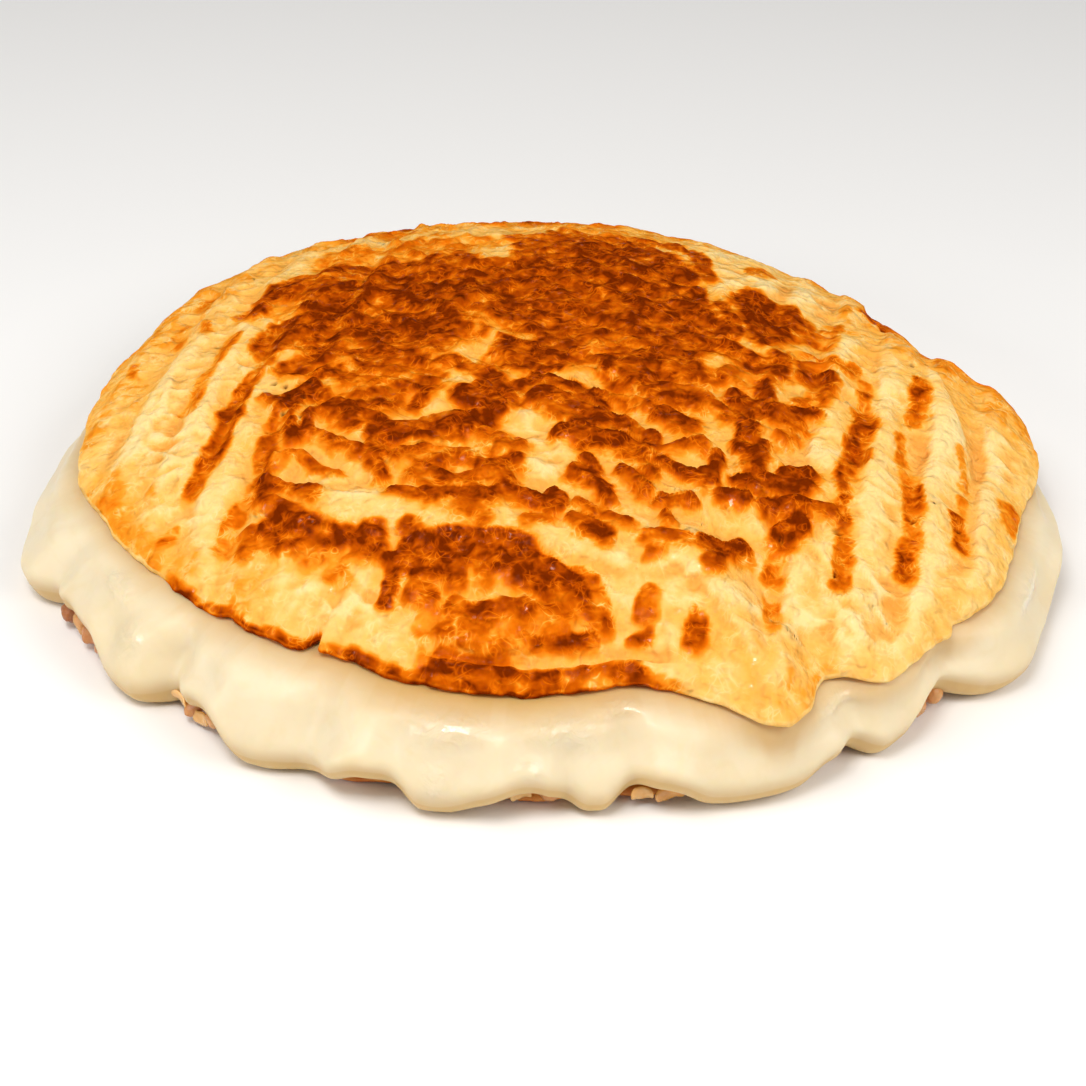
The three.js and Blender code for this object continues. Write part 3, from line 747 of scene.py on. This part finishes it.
def scattered(name, places, shape, random, tilt=math.pi):
    """One joined mesh of many small pieces, each made by shape() and set at its place. Each lies along the
    edge of the heap, turned from that by no more than the tilt."""
    all_points, all_faces, shades, start = [], [], [], 0
    for centre, size in places:
        points, faces = shape(size)
        along = Matrix.Rotation(math.atan2(centre[1], centre[0]) + math.pi / 2, 3, "Z")
        turn = along @ Matrix.Rotation(random.uniform(-tilt, tilt), 3, Vector(random.normal(size=3)))
        turned = points @ np.array(turn).T
        all_points.append(turned + centre)
        all_faces.append(faces + start)
        shades.append(np.full(len(points), random.random()))
        start += len(points)
    points = np.concatenate(all_points)
    points[:, 2] = np.maximum(points[:, 2], BOTTOM_BREAD_THICKNESS * 0.2)
    return make_mesh(name, points, [np.concatenate(all_faces)], {"shade": np.concatenate(shades)})


def make_meat():
    random = np.random.default_rng(41)
    noise = Noise(43)
    ball, faces = lump(3)

    def crumb(size):
        stretch = size * random.uniform(0.7, 1.25, 3)
        points = ball * stretch
        seed = random.uniform(0, 90)
        rough = 1 + 0.28 * noise(points + seed, 2.4) + 0.13 * noise(points + seed, 1.0)
        return points * rough[:, None], faces

    places = []
    for direction in np.arange(-180, 180, 1.9):
        at = direction + random.uniform(-0.9, 0.9)
        reach = filling_radius(at)
        size = random.uniform(1.5, 2.9)
        height = random.uniform(2.2, 5.2)
        places.append((place(at, reach - size * 0.75 - random.uniform(0, 1.2), height), size))
    places += [(place(at, radius, height), size) for at, radius, height, size in MEAT_THAT_SHOWS]
    return scattered("chopped_meat", places, crumb, random)


def make_onion():
    random = np.random.default_rng(47)
    noise = Noise(49)
    steps, sides = 22, 10
    along = np.linspace(-1, 1, steps)
    turn = np.arange(sides) * math.tau / sides

    def sliver(size):
        """A thin curved strip with a flat oval section, closed at its ends."""
        length, bend = size * random.uniform(2.0, 3.2), random.uniform(0.3, 0.9)
        width, thick = size * random.uniform(0.5, 0.8), size * random.uniform(0.16, 0.26)
        taper = np.sqrt(np.clip(1 - (along * 0.98) ** 4, 0.02, 1))
        angle = along * bend
        radius = length / (2 * bend)
        rings = []
        for a, k in zip(angle, taper):
            centre = np.array([radius * math.sin(a), radius * (math.cos(a) - 1), 0])
            normal = np.array([math.sin(a), math.cos(a), 0])
            rings.append(centre + np.outer(np.cos(turn) * thick * k, normal)
                         + np.outer(np.sin(turn) * width * k, [0, 0, 1]))
        points, groups = stacked_rings(rings, rings[0].mean(0), rings[-1].mean(0))
        points = points + 0.12 * size * noise(points + random.uniform(0, 90), 2.0)[:, None]
        triangles = []
        for group in groups:
            triangles.append(group[:, :3])
            if group.shape[1] == 4:
                triangles.append(group[:, [0, 2, 3]])
        return points, np.concatenate(triangles)

    places = []
    for direction in np.arange(-180, 180, 4.3):
        at = direction + random.uniform(-2, 2)
        size = random.uniform(1.7, 2.7)
        inset = random.uniform(0.6, 1.8)
        height = random.uniform(2.6, 5.4)
        places.append((place(at, filling_radius(at) - inset, height), size))
    places += [(place(at, radius, height), size) for at, radius, height, size in ONION_THAT_SHOWS]
    return scattered("onion_slivers", places, sliver, random, tilt=0.5)


# ---- The bottom bread ----

def make_bottom_bread():
    degrees, share, quads, edge = disc_grid(BOTTOM_BREAD_CELLS)
    noise = Noise(61)
    radius = bottom_radius(degrees) - 0.2 + trimmed(degrees, BOTTOM_BREAD_TRIMS) * share
    around = place(degrees, 100, 0)
    radius = radius + share ** 8 * (0.5 * noise(around, 7) + 0.3 * noise(around, 2.5))
    flat = place(degrees, share * radius, 0)
    from_rim = (1 - share) * radius
    round_off = 1 - np.sqrt(np.clip(from_rim / 1.4, 0, 1) * (2 - np.clip(from_rim / 1.4, 0, 1)))
    rough = 0.12 * noise.layered(flat, 6)
    upper = BOTTOM_BREAD_THICKNESS - 0.15 + rough - 0.9 * round_off
    lower = 0.12 + 0.1 * noise.layered(flat + 60, 5) + 0.5 * round_off
    lower = np.clip(lower, 0, None)
    top = place(degrees, share * radius, upper)
    under = place(degrees, share * radius, lower)
    middle = place(degrees[edge], radius[edge] + 0.25, (upper[edge] + lower[edge]) / 2)
    count = len(top)
    loops = [edge, 2 * count + np.arange(len(edge)), count + edge]
    faces = [quads, quads[:, ::-1] + count, band(loops[0], loops[1]), band(loops[1], loops[2])]
    points = np.concatenate([top, under, middle])
    x, y = flat[:, 0], flat[:, 1]
    across = x * math.cos(BAR_LEAN) - y * math.sin(BAR_LEAN)
    bars = smoothstep(np.cos(2 * math.pi * across / BAR_PITCH) + 0.5 * noise(flat, 14), 0.45, 0.95)
    toast = 0.35 + 0.25 * noise.layered(flat, 22)
    rim = 0.25 * (1 - smoothstep(from_rim, 0, 5))
    brown_top = np.clip(toast * 0.6 + rim, 0, 1)
    brown_under = np.clip(toast + 0.5 * bars + rim, 0, 1)
    return make_mesh("bottom_flatbread", points, faces,
                     {"brown": np.concatenate([brown_top, brown_under, 0.5 + 0 * edge])})


# ---- Materials ----

def colour(red, green, blue):
    """A screen colour, 0 to 255, as the shader's own linear numbers."""
    def linear(value):
        value /= 255
        return value / 12.92 if value <= 0.04045 else ((value + 0.055) / 1.055) ** 2.4
    return (linear(red), linear(green), linear(blue), 1)


class Shader:
    """A node material under construction, round one Principled shader."""

    def __init__(self, name, **settings):
        self.material = bpy.data.materials.new(name)
        self.material.use_nodes = True
        self.tree = self.material.node_tree
        self.principled = self.tree.nodes["Principled BSDF"]
        for key, value in settings.items():
            self.principled.inputs[key.replace("_", " ")].default_value = value

    def node(self, kind, **settings):
        made = self.tree.nodes.new("ShaderNode" + kind)
        for key, value in settings.items():
            setattr(made, key, value)
        return made

    def link(self, source, node, key):
        self.tree.links.new(source, node.inputs[key])

    def value(self, name):
        return self.node("Attribute", attribute_name=name).outputs["Fac"]

    def place(self):
        return self.node("TexCoord").outputs["Object"]

    def noise(self, size_mm, detail=4.0, roughness=0.55, distortion=0.0):
        made = self.node("TexNoise")
        made.inputs["Scale"].default_value = 1 / (size_mm * MM)
        made.inputs["Detail"].default_value = detail
        made.inputs["Roughness"].default_value = roughness
        made.inputs["Distortion"].default_value = distortion
        self.link(self.place(), made, "Vector")
        return made.outputs["Fac"]

    def math(self, operation, first, second, third=None, clamp=False):
        made = self.node("Math", operation=operation, use_clamp=clamp)
        for index, item in enumerate((first, second, third)):
            if item is None:
                continue
            if isinstance(item, (int, float)):
                made.inputs[index].default_value = item
            else:
                self.link(item, made, index)
        return made.outputs[0]

    def times(self, first, second, clamp=False):
        return self.math("MULTIPLY", first, second, clamp=clamp)

    def scaled(self, value, factor, offset, clamp=False):
        return self.math("MULTIPLY_ADD", value, factor, offset, clamp)

    def centred(self, value):
        return self.math("SUBTRACT", value, 0.5)

    def ramp(self, value, *stops):
        made = self.node("ValToRGB")
        elements = made.color_ramp.elements
        while len(elements) < len(stops):
            elements.new(0.5)
        for element, (position, shade) in zip(elements, stops):
            element.position = position
            element.color = shade
        self.link(value, made, "Fac")
        return made.outputs["Color"]

    def mix(self, factor, first, second):
        made = self.node("Mix", data_type="RGBA")
        for key, item in (("Factor", factor), ("A", first), ("B", second)):
            sockets = [s for s in made.inputs if s.name == key and s.enabled]
            if isinstance(item, (int, float, tuple)):
                sockets[0].default_value = item
            else:
                self.tree.links.new(item, sockets[0])
        return [s for s in made.outputs if s.enabled][0]

    def bump(self, *layers):
        """Bumps on the surface from (height, distance in millimetres) pairs."""
        normal = None
        for height, distance in layers:
            made = self.node("Bump")
            made.inputs["Distance"].default_value = distance * MM
            made.inputs["Strength"].default_value = 1
            self.link(height, made, "Height")
            if normal is not None:
                self.link(normal, made, "Normal")
            normal = made.outputs["Normal"]
        self.link(normal, self.principled, "Normal")


def threads(shader, size_mm, width, distortion):
    """Thin wandering lines, 1 on a line and 0 off it."""
    wander = shader.noise(size_mm, detail=0.4, distortion=distortion)
    off_line = shader.math("ABSOLUTE", shader.centred(wander), 0)
    near_line = shader.math("SUBTRACT", 1.0, shader.times(off_line, 1 / width, clamp=True))
    return shader.times(near_line, near_line)


def top_bread_material():
    shader = Shader("grilled_flatbread", Subsurface_Weight=0.18, Subsurface_Scale=0.0015,
                    Subsurface_Radius=(1.0, 0.45, 0.15), Coat_Roughness=0.12, Specular_IOR_Level=0.0)
    brown = shader.value("brown")
    hollow = shader.value("hollow")
    fine = shader.noise(3.3, detail=1.8, roughness=0.5, distortion=0.5)
    coarse = shader.noise(7, detail=2, distortion=0.6)
    # Painted highlights: thin light streaks where the wrinkles catch the light, on brown and pale skin alike
    long_lines = shader.math("MAXIMUM", threads(shader, 6.0, 0.07, 1.5), threads(shader, 3.8, 0.09, 1.2))
    short_lines = shader.times(threads(shader, 2.6, 0.18, 0.7), 0.65)
    patchy = shader.scaled(shader.noise(3.6, detail=1), 6.0, -2.6, clamp=True)
    highlight_lines = shader.times(shader.math("MAXIMUM", long_lines, short_lines), patchy)

    near = shader.scaled(brown, 1.5, 0.02, clamp=True)
    wobble = shader.times(shader.centred(fine), 0.84)
    wobble = shader.scaled(shader.centred(coarse), 1.0, wobble)
    wobble = shader.scaled(hollow, -0.12, wobble)
    level = shader.scaled(wobble, near, shader.times(brown, 1.01), clamp=True)
    level = shader.scaled(shader.times(highlight_lines, near), -0.32, level, clamp=True)
    paleness = shader.scaled(shader.noise(9, detail=3), 0.5, 0.26)
    # Painted shade: hollows in the pale skin turn more orange
    paleness = shader.scaled(hollow, -0.42, paleness)
    paleness = shader.scaled(shader.centred(fine), 0.6, paleness)
    paleness = shader.scaled(highlight_lines, 0.24, paleness)
    pale = shader.ramp(paleness, (0.10, colour(238, 160, 68)), (0.34, colour(244, 182, 91)),
                       (0.58, colour(249, 202, 120)), (0.85, colour(252, 218, 150)))
    toasted = shader.ramp(level, (0.0, colour(252, 203, 110)), (0.16, colour(251, 184, 78)),
                          (0.34, colour(245, 150, 36)), (0.52, colour(228, 114, 8)),
                          (0.70, colour(198, 86, 2)), (0.86, colour(164, 63, 1)), (1.0, colour(116, 38, 0)))
    base = shader.mix(shader.times(level, 3.4, clamp=True), pale, toasted)
    base = shader.mix(shader.value("pit"), base, colour(60, 22, 6))
    shader.link(base, shader.principled, "Base Color")
    gloss = shader.scaled(level, -0.14, 0.50)
    shader.link(gloss, shader.principled, "Roughness")
    specks = shader.scaled(shader.noise(1.8, detail=2), 11.0, -7.0, clamp=True)
    shader.link(shader.scaled(specks, 0.75, 0.02), shader.principled, "Coat Weight")
    shader.bump((shader.noise(6.5, detail=1, distortion=0.3), 1.8),
                (shader.noise(2.6, detail=1, distortion=0.25), 1.0),
                (shader.noise(1.2, detail=0, distortion=0.3), 0.35),
                (shader.times(shader.noise(2.2, detail=1, distortion=0.6), level), 0.35))
    return shader.material


def cheese_material():
    shader = Shader("melted_cheese", Subsurface_Weight=0.50, Subsurface_Scale=0.004,
                    Subsurface_Radius=(1.0, 0.68, 0.34), Coat_Roughness=0.07, Specular_IOR_Level=0.35)
    tone = shader.ramp(shader.noise(22, detail=3),
                       (0.3, colour(229, 210, 171)), (0.7, colour(235, 220, 189)))
    streaks = shader.scaled(shader.noise(9, detail=2, distortion=2.0), 5.0, -2.6, clamp=True)
    tone = shader.mix(shader.times(streaks, 0.30), tone, colour(226, 205, 158))
    # Painted shade on the low part of the side
    tone = shader.mix(shader.times(shader.value("painted_low_shade"), 0.95), tone, colour(212, 176, 112))
    # Painted shade in the hollows between the swells
    tone = shader.mix(shader.times(shader.value("painted_valley_shade"), 0.50), tone, colour(229, 201, 146))
    # Painted shade below the top bread's rim, warm and dark
    base = shader.mix(shader.value("painted_rim_shade"), tone, colour(202, 152, 70))
    shader.link(base, shader.principled, "Base Color")
    gloss = shader.scaled(shader.noise(6, detail=4), 0.25, 0.30)
    shader.link(gloss, shader.principled, "Roughness")
    ripples = shader.noise(3.2, detail=2.5, distortion=1.2)
    film = shader.scaled(ripples, 5.0, -1.7, clamp=True)
    wet = shader.scaled(shader.value("wet"), 1.6, 0.05, clamp=True)
    shader.link(shader.times(wet, film), shader.principled, "Coat Weight")
    shader.bump((shader.noise(6, detail=2), 0.30), (shader.times(ripples, wet), 0.45))
    return shader.material


def meat_material():
    shader = Shader("chopped_meat", Roughness=0.38, Subsurface_Weight=0.15, Subsurface_Scale=0.002,
                    Coat_Weight=0.3, Coat_Roughness=0.2)
    tone = shader.ramp(shader.math("ADD", shader.times(shader.value("shade"), 0.7),
                                   shader.times(shader.noise(1.6), 0.35)),
                       (0.15, colour(146, 80, 32)), (0.45, colour(190, 116, 54)),
                       (0.7, colour(212, 148, 84)), (0.9, colour(230, 182, 118)))
    shader.link(tone, shader.principled, "Base Color")
    shader.bump((shader.noise(1.1, detail=4), 0.35))
    return shader.material


def onion_material():
    shader = Shader("fried_onion", Roughness=0.22, Subsurface_Weight=0.2, Subsurface_Scale=0.002,
                    Subsurface_Radius=(1.0, 0.6, 0.3), Coat_Weight=0.5, Coat_Roughness=0.1)
    tone = shader.ramp(shader.math("ADD", shader.times(shader.value("shade"), 0.6),
                                   shader.times(shader.noise(1.5), 0.4)),
                       (0.2, colour(204, 128, 50)), (0.55, colour(232, 170, 88)),
                       (0.85, colour(246, 206, 138)))
    shader.link(tone, shader.principled, "Base Color")
    shader.bump((shader.noise(0.8), 0.1))
    return shader.material


def bottom_bread_material():
    shader = Shader("toasted_flatbread", Roughness=0.6, Subsurface_Weight=0.08, Subsurface_Scale=0.003)
    level = shader.scaled(shader.math("SUBTRACT", shader.noise(3, detail=5), 0.5), 0.5,
                        shader.value("brown"), clamp=True)
    tone = shader.ramp(level, (0.0, colour(250, 208, 130)), (0.3, colour(240, 172, 82)),
                       (0.6, colour(205, 112, 34)), (1.0, colour(120, 52, 12)))
    shader.link(tone, shader.principled, "Base Color")
    shader.bump((shader.noise(1.6, detail=5), 0.3))
    return shader.material


# ---- The pieces ----

def finish_piece(piece, material, node):
    piece.data.materials.append(material)
    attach(piece, "root")
    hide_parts(node)


meat = meat_material()
finish_piece(make_top_bread(), top_bread_material(), "top_bread")
finish_piece(make_cheese(), cheese_material(), "cheese")
finish_piece(make_filling_core(), meat, "filling")
finish_piece(make_meat(), meat, "filling")
finish_piece(make_onion(), onion_material(), "filling")
finish_piece(make_bottom_bread(), bottom_bread_material(), "bottom_bread")


# ---- Floor, light and camera, in metres ----
FLOOR_SIZE = 6.0
FLOOR_HEIGHT = -0.0003
STUDIO_BRIGHTNESS = 0.27
WARM_WHITE = (1.0, 0.985, 0.96)
LAMPS = [
    # (name, place, size, watts, tint)
    ("key", (-0.38, -0.16, 0.76), (0.40, 0.40), 1.5, WARM_WHITE),
    ("side", (0.52, -0.30, 0.52), (0.50, 0.40), 2.7, WARM_WHITE),
    ("left", (-0.62, -0.28, 0.34), (0.18, 0.18), 1.0, WARM_WHITE),
    ("glint", (-0.13, -0.35, 0.77), (0.26, 0.26), 2.9, (1.0, 0.99, 0.97)),
]
CAMERA_ELEVATION = math.radians(35.508)
CAMERA_ROLL = math.radians(0.704)
CAMERA_AIM = Vector((-1.63, -14.19, 0)) * MM
CAMERA_DISTANCE = 479.12 * MM
SENSOR_WIDTH_MM = 36
FOCAL_LENGTH_MM = 72.93


def make_floor():
    bpy.ops.mesh.primitive_plane_add(size=FLOOR_SIZE, location=(0, 0, FLOOR_HEIGHT))
    floor = bpy.context.object
    floor.name = "floor"
    shader = Shader("pale_floor", Roughness=0.85, Base_Color=(0.93, 0.925, 0.92, 1))
    floor.data.materials.append(shader.material)


def area_light(name, location, size, watts, tint):
    """A rectangular lamp that faces the sandwich."""
    lamp = bpy.data.lights.new(name, "AREA")
    lamp.shape = "RECTANGLE"
    lamp.size, lamp.size_y = size
    lamp.energy = watts
    lamp.color = tint
    thing = bpy.data.objects.new(name, lamp)
    thing.location = location
    thing.rotation_euler = (-Vector(location)).to_track_quat("-Z", "Y").to_euler()
    bpy.context.scene.collection.objects.link(thing)


def make_light():
    world = bpy.data.worlds.new("studio")
    world.use_nodes = True
    background = world.node_tree.nodes["Background"]
    background.inputs["Color"].default_value = (1.0, 0.99, 0.975, 1)
    background.inputs["Strength"].default_value = STUDIO_BRIGHTNESS
    bpy.context.scene.world = world
    for lamp in LAMPS:
        area_light(*lamp)


def make_camera():
    """The photograph's view of the sandwich."""
    data = bpy.data.cameras.new("camera")
    data.sensor_width = SENSOR_WIDTH_MM
    data.lens = FOCAL_LENGTH_MM
    camera = bpy.data.objects.new("camera", data)
    back = Vector((0, -math.cos(CAMERA_ELEVATION), math.sin(CAMERA_ELEVATION)))
    camera.matrix_world = (Matrix.Translation(CAMERA_AIM + back * CAMERA_DISTANCE)
                           @ Matrix.Rotation(math.pi / 2 - CAMERA_ELEVATION, 4, "X")
                           @ Matrix.Rotation(CAMERA_ROLL, 4, "Z"))
    bpy.context.scene.collection.objects.link(camera)
    bpy.context.scene.camera = camera


make_floor()
make_light()
make_camera()
bpy.context.scene.view_settings.view_transform = "Standard"
